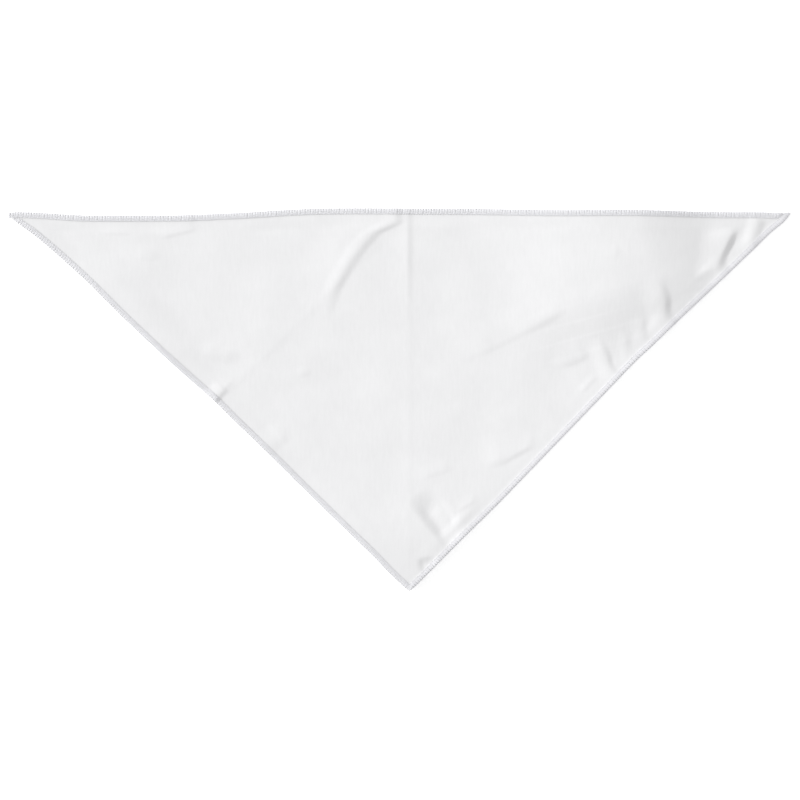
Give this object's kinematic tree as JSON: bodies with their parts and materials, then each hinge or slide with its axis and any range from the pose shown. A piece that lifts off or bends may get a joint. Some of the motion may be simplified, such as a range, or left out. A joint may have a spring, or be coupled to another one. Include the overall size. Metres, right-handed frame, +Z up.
{
  "type": "neckerchief",
  "caption": "Triangular neckerchief of plain white knitted cloth, laid flat, with pressed creases and an overlocked edge all round; it is tied round the neck.",
  "frame": {"origin": "middle of the outline's box, on the surface that the neckerchief lies on", "axes": "+X along the long edge to the right, -Y towards the apex, +Z up from the surface"},
  "size_m": [0.7, 0.3423, 0.0082],
  "materials": {
    "cloth": "fine knitted white polyester, faintly glossy, with soft laid ripples and pressed fold lines",
    "overlock_thread": "white polyester overlock thread in close cross ribs"
  },
  "bodies": {
    "root": {"cloth_panel": "cloth", "overlock_long_edge": "overlock_thread", "overlock_left_edge": "overlock_thread", "overlock_right_edge": "overlock_thread"}
  },
  "joints": []
}
